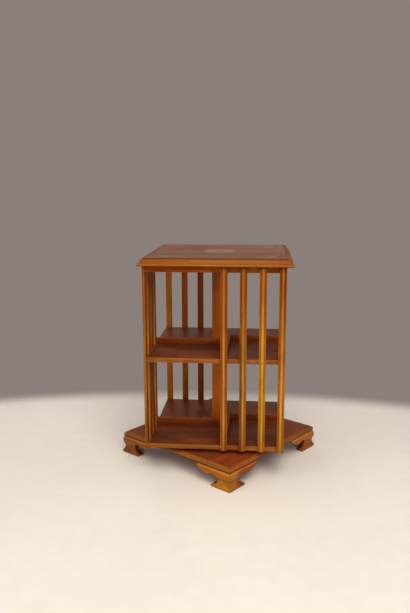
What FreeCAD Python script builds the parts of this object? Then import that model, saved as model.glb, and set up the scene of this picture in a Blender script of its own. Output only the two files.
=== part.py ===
import FreeCAD, Part
import math
import os

os.makedirs("parts", exist_ok=True)

# Revolving bookcase: a square open case of two tiers that turns on a base with four ogee bracket feet.
# Millimetres. +Z is up, the origin lies on the floor under the spindle, and the case's faces lie
# along X and Y, with the front at -Y. At rest the base is turned under the case.

# Case: shelves, column and book stops
case_width = 360.0
shelf_thickness = 12.0
case_top_thickness = 16.0
tier_height = 225.0
column_side = 40.0
column_board_thickness = 8.0
stop_height = 16.0
stop_thickness = 10.0
fitting_gap = 0.1

# Reeded slats, planted on the edges of the shelves
slats_per_face = 4
slat_width = 18.0
slat_thickness = 8.0
slat_inset = 13.5
slat_border_width = 2.3
slat_border_drop = 0.7
slat_groove_width = 1.2
slat_groove_depth = 2.2
slat_reed_rise = 1.6

# Top: a board framed by mitred mouldings
top_overhang = 18.0
top_thickness = 20.0
top_edge_width = 16.5
top_lip_height = 6.5
top_lip_nose = 1.5
top_step = 1.2

# Base: a board framed by mitred mouldings, on ogee bracket feet
base_overhang = 17.0
base_thickness = 11.0
base_edge_width = 8.5
base_lip_height = 2.2
base_step = 0.9
base_turn_angle = 54.0
foot_height = 52.0
foot_wing = 113.0
foot_thickness = 18.0
ogee_top_inset = 3.5
ogee_bulge = 1.8
ogee_waist = 2.7
toe_flare = 2.9
foot_block_side = 24.0
foot_block_lift = 2.0

# Spindle, with its plate, nut and bushes
spindle_diameter = 12.0
spindle_plate_diameter = 84.0
spindle_plate_thickness = 4.0
spindle_hole_clearance = 0.4
running_clearance = 0.05
bush_wall = 4.0
bush_length = 12.0
bush_flange_width = 4.5
bush_flange_thickness = 1.5
end_float = 0.3
nut_sides = 6
nut_across_flats = 19.0
nut_height = 5.0
nut_collar_thickness = 1.5
spindle_end_stand = 1.0
nut_recess_clearance = 1.5

# Ball bearing that carries the case
ball_count = 8
ball_diameter = 7.0
ball_circle_diameter = 68.0
ball_clearance = 0.3
cage_thickness = 1.6
cage_width = 13.0
cage_pocket_clearance = 0.25
race_thickness = 3.0
race_groove_depth = 1.3
race_inner_land = 6.5
race_outer_land = 10.0

# Heights above the floor
base_bottom = foot_height
base_top = base_bottom + base_thickness
bearing_gap = ball_diameter + 2 * (race_thickness - race_groove_depth + ball_clearance)
bottom_shelf_low = base_top + bearing_gap
bottom_shelf_high = bottom_shelf_low + shelf_thickness
middle_shelf_low = bottom_shelf_high + tier_height
middle_shelf_high = middle_shelf_low + shelf_thickness
case_top_low = middle_shelf_high + tier_height
case_top_high = case_top_low + case_top_thickness
top_high = case_top_high + top_thickness
ball_height = base_top + bearing_gap / 2

# Distances from the axis, and radii
shelf_half = case_width / 2
column_half = column_side / 2
top_half = shelf_half + top_overhang
base_half = shelf_half + base_overhang
spindle_radius = spindle_diameter / 2
bush_bore_radius = spindle_radius + running_clearance
bush_radius = bush_bore_radius + bush_wall
bush_flange_radius = bush_radius + bush_flange_width
nut_collar_radius = bush_flange_radius
nut_low = case_top_high + bush_flange_thickness + end_float
nut_high = nut_low + nut_collar_thickness + nut_height
spindle_high = nut_high + spindle_end_stand
ball_circle_radius = ball_circle_diameter / 2
groove_radius = ball_diameter / 2 + ball_clearance
race_inner_radius = ball_circle_radius - groove_radius - race_inner_land
race_outer_radius = ball_circle_radius + groove_radius + race_outer_land
cut_overrun = 5.0

AXIS = FreeCAD.Vector(0, 0, 1)
ORIGIN = FreeCAD.Vector(0, 0, 0)
QUARTERS = {"front": 0, "right": 90, "back": 180, "left": 270}


def save(name, shape):
    """Write one sub-part as a STEP file."""
    shape.exportStep("parts/%s.step" % name)


def turned(shape, angle):
    """A copy of a shape, turned about the spindle's axis."""
    copy = shape.copy()
    copy.rotate(ORIGIN, AXIS, angle)
    return copy


def raised(shape, height):
    """A copy of a shape, lifted by a height."""
    copy = shape.copy()
    copy.translate(FreeCAD.Vector(0, 0, height))
    return copy


def block(x_range, y_range, z_range):
    """A box between two corners."""
    corner = FreeCAD.Vector(x_range[0], y_range[0], z_range[0])
    sizes = [span[1] - span[0] for span in (x_range, y_range, z_range)]
    return Part.makeBox(*sizes, corner)


def disc(radius, low, high):
    """A cylinder on the axis between two heights."""
    return Part.makeCylinder(radius, high - low, FreeCAD.Vector(0, 0, low))


def ring(inner_radius, outer_radius, low, high):
    """A flat ring about the axis between two heights."""
    bore = disc(inner_radius, low - cut_overrun, high + cut_overrun)
    return disc(outer_radius, low, high).cut(bore)


def outline_face(steps, place):
    """A face from steps of an outline: a step of one point is a line, one of two points an arc."""
    edges = []
    here = place(*steps[0][0])
    for step in steps[1:] + steps[:1]:
        points = [place(*point) for point in step]
        if len(points) == 1:
            edges.append(Part.LineSegment(here, points[0]).toShape())
        else:
            edges.append(Part.Arc(here, points[0], points[1]).toShape())
        here = points[-1]
    return Part.Face(Part.Wire(edges))


def around(shape, count, radius):
    """Copies of a shape on a circle about the axis."""
    moved = shape.copy()
    moved.translate(FreeCAD.Vector(radius, 0, 0))
    return [turned(moved, 360 * number / count) for number in range(count)]


def upside_down(shape):
    """The mirror image of a shape in the floor's plane."""
    return shape.mirror(ORIGIN, AXIS)


# Mitred strips


def quarter_wedge(low, high):
    """The quarter of space that faces the front, between the two mitre planes."""
    reach = case_width
    corners = [ORIGIN, FreeCAD.Vector(-reach, -reach, 0), FreeCAD.Vector(reach, -reach, 0), ORIGIN]
    wedge = Part.Face(Part.makePolygon(corners)).extrude(FreeCAD.Vector(0, 0, high - low))
    return raised(wedge, low)


def front_strip(steps, reach, low, high):
    """A strip along the front of a square, mitred at both ends, from its cross-section."""
    section = outline_face(steps, lambda out, height: FreeCAD.Vector(-reach, -out, height))
    strip = section.extrude(FreeCAD.Vector(2 * reach, 0, 0))
    return strip.common(quarter_wedge(low - cut_overrun, high + cut_overrun))


def top_edge_steps():
    """Cross-section of the top's moulding: step, round, hollow and half-round lip."""
    low = case_top_high
    inner = top_half - top_edge_width
    lip_top = low + top_lip_height
    lip_face = top_half - top_lip_nose
    curve_top = top_high - top_step
    run = lip_face - inner
    rise = curve_top - lip_top
    round_mid_shares = (0.36, 0.91)
    round_end_shares = (0.56, 0.55)
    hollow_mid_shares = (0.72, 0.20)
    return [
        [(inner, low)],
        [(lip_face, low)],
        [(top_half, low + top_lip_height / 2), (lip_face, lip_top)],
        [(inner + hollow_mid_shares[0] * run, lip_top + hollow_mid_shares[1] * rise),
         (inner + round_end_shares[0] * run, lip_top + round_end_shares[1] * rise)],
        [(inner + round_mid_shares[0] * run, lip_top + round_mid_shares[1] * rise), (inner, curve_top)],
        [(inner, top_high)],
        [(inner - top_step, top_high)],
        [(inner - top_step, low)],
    ]


def base_edge_steps():
    """Cross-section of the base's moulding: low lip, round and small step at the board."""
    inner = base_half - base_edge_width
    lip_top = base_bottom + base_lip_height
    curve_top = base_top - base_step
    curve_inner = inner + base_step
    round_mid_share = 0.66
    return [
        [(inner, base_bottom)],
        [(base_half, base_bottom)],
        [(base_half, lip_top)],
        [(curve_inner + round_mid_share * (base_half - curve_inner),
          lip_top + round_mid_share * (curve_top - lip_top)), (curve_inner, curve_top)],
        [(curve_inner, base_top)],
        [(inner, base_top)],
    ]


# Base


def base_board():
    """The square board of the base, bored for the spindle."""
    half = base_half - base_edge_width
    board = block((-half, half), (-half, half), (base_bottom, base_top))
    hole = disc(spindle_radius + spindle_hole_clearance, base_bottom - cut_overrun, base_top + cut_overrun)
    return board.cut(hole)


def foot_section_steps():
    """Cross-section of a foot bracket: swelling above, waist and flared toe below."""
    bulge_share = 0.73
    turn_share = 0.52
    waist_share = 0.355
    flare_share = 0.115
    toe_share = 0.04
    toe_reach_share = 0.85
    inner = base_half - foot_thickness
    turn = base_half + (ogee_bulge - ogee_waist) / 2
    toe = base_half + toe_flare
    return [
        [(inner, 0)],
        [(base_half, 0)],
        [(base_half + toe_reach_share * toe_flare, toe_share * foot_height),
         (toe, flare_share * foot_height)],
        [(base_half - ogee_waist, waist_share * foot_height), (turn, turn_share * foot_height)],
        [(base_half + ogee_bulge, bulge_share * foot_height), (base_half - ogee_top_inset, foot_height)],
        [(inner, foot_height)],
    ]


def foot_wing_steps():
    """Front view of a foot bracket, from its corner along its wing, as shares of wing and height."""
    sole_shares = (0.518, 0.0)
    toe_shares = [(0.549, 0.062), (0.527, 0.138)]
    ankle_shares = [(0.418, 0.212), (0.385, 0.385)]
    arch_shares = [(0.490, 0.690), (0.612, 0.625)]
    cusp_shares = (0.630, 0.585)
    belly_shares = [(0.800, 0.620), (0.945, 0.790)]
    tip_shares = [(0.985, 0.890), (1.0, 1.0)]
    return [[(0.0, 0.0)], [sole_shares], toe_shares, ankle_shares, arch_shares, [cusp_shares],
            belly_shares, tip_shares, [(0.0, 1.0)]]


def foot_bracket():
    """The right-hand bracket of the foot at the base's corner at -X and -Y."""
    section = outline_face(foot_section_steps(),
                           lambda out, height: FreeCAD.Vector(-case_width, -out, height))
    bar = section.extrude(FreeCAD.Vector(2 * case_width, 0, 0))
    corner = base_half + toe_flare
    behind = -base_half + foot_thickness + cut_overrun
    length = foot_wing + toe_flare

    def place(wing, height):
        """Across the wing from the toe's outermost corner, so the foot ends at the mitre."""
        return FreeCAD.Vector(wing * length - corner, behind, height * foot_height)

    fret = outline_face(foot_wing_steps(), place)
    fret = fret.extrude(FreeCAD.Vector(0, -corner - cut_overrun - behind, 0))
    return bar.common(fret).common(quarter_wedge(-cut_overrun, foot_height + cut_overrun))


def foot_block():
    """The glue block inside the corner of the same foot."""
    low = -base_half + foot_thickness
    high = low + foot_block_side
    return block((low, high), (low, high), (foot_block_lift, foot_height))


def save_base():
    """The base with its edge mouldings, feet and glue blocks, turned under the case."""
    save("base_board", turned(base_board(), base_turn_angle))
    edge = front_strip(base_edge_steps(), base_half, base_bottom, base_top)
    bracket = foot_bracket()
    other_hand = bracket.mirror(ORIGIN, FreeCAD.Vector(1, -1, 0))
    blocks = []
    for side, quarter in QUARTERS.items():
        angle = quarter + base_turn_angle
        save("base_edge_" + side, turned(edge, angle))
        save(side + "_foot_right_bracket", turned(bracket, angle))
        save(side + "_foot_left_bracket", turned(other_hand, angle))
        blocks.append(turned(foot_block(), angle))
    save("foot_blocks", Part.makeCompound(blocks))


# Spindle and bearing


def spindle():
    """The turned spindle, in one piece with the plate that is fixed under the base board."""
    plate_low = base_bottom - spindle_plate_thickness
    taper_low = spindle_high - spindle_end_stand
    shaft = disc(spindle_radius, plate_low, taper_low)
    taper = Part.makeCone(spindle_radius, spindle_radius - spindle_end_stand, spindle_end_stand,
                          FreeCAD.Vector(0, 0, taper_low))
    plate = disc(spindle_plate_diameter / 2, plate_low, base_bottom)
    return plate.fuse([shaft, taper]).removeSplitter()


def spindle_nut():
    """The collar nut that keeps the case on the spindle."""
    half_angle = math.pi / nut_sides
    corner_radius = nut_across_flats / 2 / math.cos(half_angle)
    collar_high = nut_low + nut_collar_thickness
    angles = [2 * half_angle * number for number in range(nut_sides)]
    corners = [FreeCAD.Vector(corner_radius * math.cos(angle), corner_radius * math.sin(angle), collar_high)
               for angle in angles]
    hexagon = Part.Face(Part.makePolygon(corners + corners[:1])).extrude(FreeCAD.Vector(0, 0, nut_height))
    collar = disc(nut_collar_radius, nut_low, collar_high)
    bore = disc(bush_bore_radius, nut_low - cut_overrun, nut_high + cut_overrun)
    return hexagon.fuse(collar).cut(bore).removeSplitter()


def bush():
    """A bush for the spindle, with its flange above height zero and its barrel below."""
    barrel = disc(bush_radius, -bush_length, 0)
    flange = disc(bush_flange_radius, 0, bush_flange_thickness)
    bore = disc(bush_bore_radius, -bush_length - cut_overrun, bush_flange_thickness + cut_overrun)
    return barrel.fuse(flange).cut(bore).removeSplitter()


def race(low, groove_height):
    """A plate ring of the ball bearing with its ball groove."""
    plate = ring(race_inner_radius, race_outer_radius, low, low + race_thickness)
    groove = Part.makeTorus(ball_circle_radius, groove_radius, FreeCAD.Vector(0, 0, groove_height))
    return plate.cut(groove)


def ball():
    """One ball at the axis, at the height at which the balls run."""
    return Part.makeSphere(ball_diameter / 2, FreeCAD.Vector(0, 0, ball_height))


def ball_cage():
    """The flat cage ring that keeps the balls apart."""
    low = ball_height - cage_thickness / 2
    high = ball_height + cage_thickness / 2
    plate = ring(ball_circle_radius - cage_width / 2, ball_circle_radius + cage_width / 2, low, high)
    pocket = disc(ball_diameter / 2 + cage_pocket_clearance, low - cut_overrun, high + cut_overrun)
    return plate.cut(around(pocket, ball_count, ball_circle_radius))


def save_bearing():
    """The spindle with its nut and bushes, and the ball bearing between base and case."""
    save("spindle", turned(spindle(), base_turn_angle))
    save("spindle_nut", turned(spindle_nut(), base_turn_angle))
    save("lower_race", turned(race(base_top, ball_height), base_turn_angle))
    save("ball_cage", ball_cage())
    save("bearing_balls", Part.makeCompound(around(ball(), ball_count, ball_circle_radius)))
    save("upper_race", race(bottom_shelf_low - race_thickness, ball_height))
    save("lower_bush", raised(upside_down(bush()), bottom_shelf_low))
    save("upper_bush", raised(bush(), case_top_high))


# Case


def shelf_board(low, thickness):
    """A square board of the case."""
    return block((-shelf_half, shelf_half), (-shelf_half, shelf_half), (low, low + thickness))


def bush_hole(low, high):
    """The hole through a board for the barrel of a bush."""
    return disc(bush_radius + fitting_gap, low - cut_overrun, high + cut_overrun)


def bottom_shelf():
    """The lowest shelf, bored for the lower bush."""
    board = shelf_board(bottom_shelf_low, shelf_thickness)
    return board.cut(bush_hole(bottom_shelf_low, bottom_shelf_high))


def middle_shelf():
    """The shelf between the tiers, with a square hole that the column passes through."""
    half = column_half + fitting_gap
    hole = block((-half, half), (-half, half),
                 (middle_shelf_low - cut_overrun, middle_shelf_high + cut_overrun))
    return shelf_board(middle_shelf_low, shelf_thickness).cut(hole)


def case_top():
    """The board that closes the case, bored for the upper bush."""
    board = shelf_board(case_top_low, case_top_thickness)
    return board.cut(bush_hole(case_top_low, case_top_high))


def column_board():
    """The front board of the hollow column; each board butts the side of the next one."""
    inner = column_half - column_board_thickness
    return block((-column_half, inner), (-column_half, -inner), (bottom_shelf_high, case_top_low))


def book_stop(shelf_high):
    """The stop on the left of the column, from the shelf's edge past the column's front."""
    near = column_half + stop_thickness
    return block((-shelf_half, column_half), (-near, -column_half), (shelf_high, shelf_high + stop_height))


def slat(left):
    """A reeded slat on the front, whose left edge is at the given place."""
    face = slat_thickness
    border = face - slat_border_drop
    groove = face - slat_groove_depth
    reed = face - slat_reed_rise
    inner = slat_border_width
    reed_left = slat_border_width + slat_groove_width
    reed_right = slat_width - reed_left
    steps = [
        [(0, 0)],
        [(slat_width, 0)],
        [(slat_width, border)],
        [(slat_width - inner, border)],
        [(slat_width - inner, groove)],
        [(reed_right, groove)],
        [(reed_right, reed)],
        [(slat_width / 2, face), (reed_left, reed)],
        [(reed_left, groove)],
        [(inner, groove)],
        [(inner, border)],
        [(0, border)],
    ]

    def place(across, out):
        """Across the front face and outwards from the edge of the shelves."""
        return FreeCAD.Vector(left + across, -shelf_half - out, bottom_shelf_low)

    return outline_face(steps, place).extrude(FreeCAD.Vector(0, 0, case_top_high - bottom_shelf_low))


def slat_lefts():
    """Left edges of the slats of a face: the first is near the middle, the last ends at the corner."""
    last = shelf_half - slat_width
    pitch = (last - slat_inset) / (slats_per_face - 1)
    return [slat_inset + pitch * number for number in range(slats_per_face)]


def save_case():
    """The case: shelves, column, book stops and slats."""
    save("bottom_shelf", bottom_shelf())
    save("middle_shelf", middle_shelf())
    save("case_top", case_top())
    for side, angle in QUARTERS.items():
        save("column_board_" + side, turned(column_board(), angle))
        save("lower_book_stop_" + side, turned(book_stop(bottom_shelf_high), angle))
        save("upper_book_stop_" + side, turned(book_stop(middle_shelf_high), angle))
        for number, left in enumerate(slat_lefts(), 1):
            save("%s_slat_%d" % (side, number), turned(slat(left), angle))


def top_board():
    """The board of the top, recessed below for the spindle's nut."""
    half = top_half - top_edge_width - top_step
    board = block((-half, half), (-half, half), (case_top_high, top_high))
    recess = disc(nut_collar_radius + nut_recess_clearance, case_top_high - cut_overrun,
                  spindle_high + nut_recess_clearance)
    return board.cut(recess)


def save_top():
    """The top with its four mouldings."""
    save("top_board", top_board())
    edge = front_strip(top_edge_steps(), top_half, case_top_high, top_high)
    for side, angle in QUARTERS.items():
        save("top_edge_" + side, turned(edge, angle))


save_base()
save_bearing()
save_case()
save_top()
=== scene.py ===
import math
import random

import bpy
from bpy.props import FloatProperty, FloatVectorProperty, PointerProperty
from bpy.types import Operator, Panel, PropertyGroup
from mathutils import Matrix, Vector


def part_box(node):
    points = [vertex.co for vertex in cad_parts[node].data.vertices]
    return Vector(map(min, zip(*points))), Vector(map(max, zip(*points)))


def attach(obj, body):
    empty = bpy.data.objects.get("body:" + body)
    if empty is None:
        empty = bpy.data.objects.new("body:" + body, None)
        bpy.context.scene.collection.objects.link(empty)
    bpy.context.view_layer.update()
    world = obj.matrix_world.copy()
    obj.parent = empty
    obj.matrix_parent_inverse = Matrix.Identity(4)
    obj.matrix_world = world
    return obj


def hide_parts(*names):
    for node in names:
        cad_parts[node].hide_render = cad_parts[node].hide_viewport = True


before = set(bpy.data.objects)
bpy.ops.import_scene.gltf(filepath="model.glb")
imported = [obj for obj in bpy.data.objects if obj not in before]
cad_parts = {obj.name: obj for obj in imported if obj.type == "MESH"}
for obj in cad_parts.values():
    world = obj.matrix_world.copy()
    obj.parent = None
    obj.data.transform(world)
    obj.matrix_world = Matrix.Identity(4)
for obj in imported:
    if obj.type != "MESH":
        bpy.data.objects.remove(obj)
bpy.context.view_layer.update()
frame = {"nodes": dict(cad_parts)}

bl_info = {
    "name": "Revolving bookcase",
    "version": (1, 0, 0),
    "blender": (4, 5, 0),
    "location": "3D View > Sidebar > Bookcase",
    "description": "Reeded slats, mouldings, inlay, fittings and polished woods of a revolving bookcase",
    "category": "Object",
}

MM = 0.001
WELD = 0.001 * MM
OVERRUN = 5 * MM
ARC_STEPS = 10
FINE_ROUND = 160
SMOOTH_ANGLE = math.radians(32)
EASE_ANGLE = math.radians(38)
AMBER = (1.0, 0.62, 0.25, 1.0)
PALE_AMBER = (1.0, 0.78, 0.56, 1.0)
UNTINTED = (1.0, 1.0, 1.0)
LAMP_AIM = (0.0, 0.0, 0.3)

# Small fixed sizes of holes, clearances, pins and screws

BUSH_HOLE = 10.15 * MM
SPINDLE_HOLE = 6.4 * MM
COLUMN_GAP = 0.1 * MM
NUT_CLEARANCE = 1.5 * MM
FAN_GAP = 3 * MM
TOE_SETBACK = 0.25 * MM
PIN_LENGTH = 2 * MM
PIN_PROUD = 0.06 * MM
HEAD_HEIGHT = 1.2 * MM
HEAD_ARRIS = 0.12 * MM
HEAD_PROUD = 0.2 * MM
SLOT_WIDTH = 0.9 * MM
SLOT_DEPTH = 0.7 * MM
PLATE_CIRCLE = 32 * MM
TOP_CIRCLE = 150 * MM
RACE_INSET = 4.5 * MM

SIDES = {"front": 0.0, "right": math.radians(90), "back": math.radians(180), "left": math.radians(270)}
TIERS = ("lower", "upper")
SHELVES = ("bottom_shelf", "middle_shelf", "case_top")
SLATS = (1, 2, 3, 4)


def length(name, description, millimetres):
    """A size in metres, from its default in millimetres."""
    return FloatProperty(name=name, description=description, default=millimetres * MM, min=0.0,
                         subtype="DISTANCE", unit="LENGTH", precision=5)


def angle(name, description, degrees):
    """An angle in radians, from its default in degrees."""
    return FloatProperty(name=name, description=description, default=math.radians(degrees),
                         subtype="ANGLE", unit="ROTATION")


def factor(name, description, value, most=1.0):
    """A plain number from nought to its most."""
    return FloatProperty(name=name, description=description, default=value, min=0.0, max=most)


def power(name, description, watts):
    """A lamp's power in watts."""
    return FloatProperty(name=name, description=description, default=watts, min=0.0,
                         subtype="POWER", unit="POWER")


def colour(name, description, red, green, blue):
    """A linear colour."""
    return FloatVectorProperty(name=name, description=description, default=(red, green, blue),
                               size=3, min=0.0, max=1.0, subtype="COLOR")


class BookcaseSizes(PropertyGroup):
    """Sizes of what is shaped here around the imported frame."""

    arris: length("Arris", "Width of the eased edge of boards", 0.5)
    fine_arris: length("Fine arris", "Width of the eased edge of mouldings and slats", 0.25)
    base_turn: angle("Base turn", "Turn of the base under the case at rest", 54)
    bead_width: length("Bead width", "Width of the bead along each edge of a slat", 2.3)
    bead_drop: length("Bead drop", "How far the beads lie behind the slat's reed", 0.7)
    groove_width: length("Groove width", "Width of the grooves beside the reed", 1.2)
    groove_depth: length("Groove depth", "Depth of the grooves below the reed's crest", 2.2)
    reed_rise: length("Reed rise", "Rise of the reed from its edges to its crest", 1.6)
    top_lip: length("Top lip", "Height of the half-round lip of the top", 6.5)
    top_nose: length("Top nose", "How far the lip of the top is rounded out", 1.5)
    top_step: length("Top step", "Small step round the field of the top", 1.2)
    base_lip: length("Base lip", "Height of the lip of the base", 2.2)
    base_step: length("Base step", "Small step round the field of the base", 0.9)
    foot_thickness: length("Foot thickness", "Thickness of the foot brackets", 18)
    ogee_top_inset: length("Ogee inset", "How far the ogee starts behind the base's edge", 3.5)
    ogee_bulge: length("Ogee bulge", "How far the ogee swells past the base's edge", 1.8)
    ogee_waist: length("Ogee waist", "How far the ogee draws in above the toe", 2.7)
    toe_flare: length("Toe flare", "How far the toe stands out", 2.9)
    pin_diameter: length("Pin diameter", "Diameter of the filled pin holes in the slats", 1.9)
    screw_diameter: length("Screw diameter", "Diameter of the wood screws' heads", 6.4)
    fan_diameter: length("Fan diameter", "Diameter of the fan inlay in the middle of the top", 90)
    corner_fan: length("Corner fan", "Radius of the quarter fans in the corners of the top", 38)
    string_inset: length("Stringing inset", "Distance of the stringing from the edge of the field", 22)
    string_width: length("Stringing width", "Width of the light stringing", 1.5)
    inlay_depth: length("Inlay depth", "Thickness of the inlaid veneers", 0.8)
    inlay_gap: length("Inlay gap", "Joint between the inlay and the field", 0.06)


class BookcaseWoods(PropertyGroup):
    """Colours of the woods under their polish."""

    slat_light: colour("Slat, light", "Light grain of the slats", 0.44, 0.135, 0.005)
    # Painted light: the slats' grain is made lighter and yellower lower down, where the floor throws more
    # light on them.
    slat_lit_lower: colour("Slat, worn", "Light grain of the slats lower down, where they are worn",
                      0.69, 0.31, 0.042)
    slat_dark: colour("Slat, dark", "Dark grain of the slats", 0.2, 0.04, 0.002)
    # Painted shade: the inner faces of the slats are made dark, as they lie in shade inside the case.
    slat_inner_shade: colour("Slat, inside", "Inner faces of the slats", 0.19, 0.03, 0.001)
    edge_light: colour("Edge, light", "Light grain of the shelves' lipping", 0.3, 0.094, 0.013)
    edge_dark: colour("Edge, dark", "Dark grain of the shelves' lipping", 0.18, 0.045, 0.006)
    shelf_light: colour("Shelf, light", "Light grain of the shelves", 0.235, 0.058, 0.016)
    shelf_dark: colour("Shelf, dark", "Dark grain of the shelves", 0.115, 0.027, 0.009)
    frieze_light: colour("Frieze, light", "Light grain of the board under the top", 0.32, 0.06, 0.002)
    frieze_dark: colour("Frieze, dark", "Dark grain of the board under the top", 0.16, 0.025, 0.001)
    moulding_light: colour("Moulding, light", "Light grain of the top's moulding", 0.46, 0.155, 0.01)
    moulding_dark: colour("Moulding, dark", "Dark grain of the top's moulding", 0.25, 0.062, 0.004)
    # Painted shade: the right part of the top's mouldings is made darker and redder, away from the light.
    moulding_end_shade: colour("Moulding, end", "Darker end of the top's mouldings", 0.235, 0.066, 0.005)
    column_light: colour("Column, light", "Light grain of the column", 0.64, 0.17, 0.009)
    column_dark: colour("Column, dark", "Dark grain of the column", 0.35, 0.075, 0.004)
    stop_light: colour("Stop, light", "Light grain of the book stops", 0.31, 0.06, 0.005)
    stop_dark: colour("Stop, dark", "Dark grain of the book stops", 0.155, 0.023, 0.002)
    base_light: colour("Base, light", "Light grain of the base board", 0.37, 0.078, 0.015)
    base_dark: colour("Base, dark", "Dark grain of the base board", 0.19, 0.028, 0.007)
    border_light: colour("Border, light", "Light grain of the base's moulding", 0.46, 0.150, 0.028)
    border_dark: colour("Border, dark", "Dark grain of the base's moulding", 0.26, 0.068, 0.013)
    foot_light: colour("Foot, light", "Light grain of the feet", 0.56, 0.190, 0.026)
    foot_dark: colour("Foot, dark", "Dark grain of the feet", 0.28, 0.070, 0.010)
    # Painted shade: the outer end of the feet's right wings is made darker and redder, away from the light.
    foot_end_shade: colour("Foot, end", "Redder end of the feet's right wings", 0.21, 0.036, 0.006)
    top_light: colour("Top, light", "Light grain of the top's field", 0.33, 0.122, 0.056)
    top_dark: colour("Top, dark", "Dark grain of the top's field", 0.174, 0.057, 0.029)
    inlay_light: colour("Inlay, light", "Light wood of the middle fan", 0.43, 0.245, 0.115)
    inlay_shade: colour("Inlay, shaded", "Scorched side of the fans' petals", 0.24, 0.1, 0.042)
    corner_light: colour("Corner fan", "Light wood of the corner fans", 0.31, 0.135, 0.064)
    string_light: colour("Stringing", "Light wood of the stringing", 0.34, 0.170, 0.080)
    plain_light: colour("Plain wood, light", "Unpolished wood inside the base", 0.52, 0.37, 0.21)
    plain_dark: colour("Plain wood, dark", "Grain of the unpolished wood", 0.33, 0.21, 0.11)
    red_cast: colour("Red cast", "Redder cast that drifts through the woods", 1.0, 0.76, 0.62)
    # Also used for painted shade in the slats' grooves, in the crease above the top's lip and along the edge
    # of the top's field.
    pore_and_shade: colour("Pore", "Dark pores and old polish in the grain", 0.020, 0.006, 0.003)
    # Used for real grime along the toes, and for painted shadow and shade under overhangs and lips and on cut
    # faces.
    grime_and_shade: colour("Grime", "Grime in corners and cut-outs", 0.045, 0.016, 0.006)
    chip: colour("Chip", "Bare wood where the polish is chipped", 0.66, 0.36, 0.12)


class BookcaseStudio(PropertyGroup):
    """The plain studio round the bookcase."""

    floor: colour("Floor", "Pale floor", 0.93, 0.85, 0.77)
    wall: colour("Wall", "Backdrop behind the floor", 0.255, 0.215, 0.198)
    floor_radius: length("Floor radius", "Radius of the round floor", 6000)
    pool_centre: FloatProperty(name="Pool centre", description="How far behind the spindle the floor's pale "
                               "round lies", default=-2.0, subtype="DISTANCE", unit="LENGTH")
    pool_radius: length("Pool radius", "Radius of the pale round of the floor", 2410)
    pool_fade: length("Pool fade", "Width over which the floor fades into the backdrop", 150)
    floor_reach: length("Floor reach", "How far the pale floor reaches round the spindle", 1350)
    reach_fade: length("Reach fade", "Width over which the floor fades at its reach", 450)
    top_power: power("Top power", "Power of the large lamp overhead", 20.0)
    front_power: power("Front power", "Power of the lamp in front", 54.5)
    low_power: power("Low power", "Power of the low lamp in front, which reaches into the shelves", 14.0)
    back_power: power("Back power", "Power of the weak lamp behind", 13.0)
    side_power: power("Side power", "Power of the weak lamp on the left", 8.0)
    ambient: factor("Ambient", "Strength of the even light from all round", 0.16, 4.0)
    lens: FloatProperty(name="Lens", description="Focal length of the camera in millimetres", default=37.957)
    tilt: angle("Tilt", "Camera's angle from straight down", 78.9763)
    heading: angle("Heading", "Camera's turn about the vertical", 5.0942)
    roll: angle("Roll", "Camera's turn about its own axis", -0.1591)
    camera_place: FloatVectorProperty(name="Camera place", description="Where the camera stands", size=3,
                                      default=(0.11765, -1.78852, 0.77551), subtype="XYZ", unit="LENGTH")


# Handling of objects and of the frame's boxes


def scene_settings():
    """The sizes and the woods that are set on the scene."""
    scene = bpy.context.scene
    return scene.bookcase_sizes, scene.bookcase_woods


def lone(obj):
    """Make an object the only one that the operators act on."""
    bpy.ops.object.select_all(action="DESELECT")
    obj.select_set(True)
    bpy.context.view_layer.objects.active = obj
    return obj


def named(name):
    """Name the object that was just made."""
    obj = bpy.context.object
    obj.name = name
    obj.data.name = name
    return obj


def box_at(node, turn=0.0):
    """Lowest and highest corner of a CAD node, in axes turned about the spindle."""
    back = Matrix.Rotation(-turn, 3, "Z")
    points = [back @ v.co for v in frame["nodes"][node].data.vertices]
    low = Vector([min(p[axis] for p in points) for axis in range(3)])
    high = Vector([max(p[axis] for p in points) for axis in range(3)])
    return low, high


def block(name, low, high):
    """A board between two corners."""
    bpy.ops.object.select_all(action="DESELECT")
    low, high = Vector(low), Vector(high)
    bpy.ops.mesh.primitive_cube_add(size=1, location=(low + high) / 2, scale=high - low)
    bpy.ops.object.transform_apply()
    return named(name)


def mid_height(node):
    """Height of the middle of a CAD node."""
    low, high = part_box(node)
    return (low.z + high.z) / 2


def square(name, half, low, high):
    """A square board round the spindle between two heights."""
    return block(name, (-half, -half, low), (half, half, high))


def disc(name, radius, low, high, centre=(0.0, 0.0), vertices=64):
    """A round plate between two heights."""
    bpy.ops.object.select_all(action="DESELECT")
    bpy.ops.mesh.primitive_cylinder_add(vertices=vertices, radius=radius, depth=high - low,
                                        location=(centre[0], centre[1], (low + high) / 2))
    bpy.ops.object.transform_apply()
    return named(name)


def modify(obj, kind, **settings):
    """Add a modifier to an object, set it and apply it."""
    lone(obj)
    modifier = obj.modifiers.new(kind.title(), kind)
    for key, value in settings.items():
        setattr(modifier, key, value)
    bpy.ops.object.modifier_apply(modifier=modifier.name)
    return obj


def ease(obj, width, segments=2):
    """Ease the sharp edges of an object and shade it smooth between them."""
    modify(obj, "BEVEL", width=width, segments=segments, limit_method="ANGLE",
           angle_limit=EASE_ANGLE, miter_outer="MITER_ARC")
    bpy.ops.object.shade_smooth_by_angle(angle=SMOOTH_ANGLE)
    return obj


def carve(obj, tool, operation="DIFFERENCE"):
    """Cut an object with another one, which is used up."""
    modify(obj, "BOOLEAN", operation=operation, object=tool, solver="EXACT")
    bpy.data.objects.remove(tool)
    return obj


def face_outwards():
    """In edit mode, make all faces point outwards, and go back to object mode."""
    bpy.ops.mesh.select_all(action="SELECT")
    bpy.ops.mesh.normals_make_consistent(inside=False)
    bpy.ops.object.mode_set(mode="OBJECT")


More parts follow.
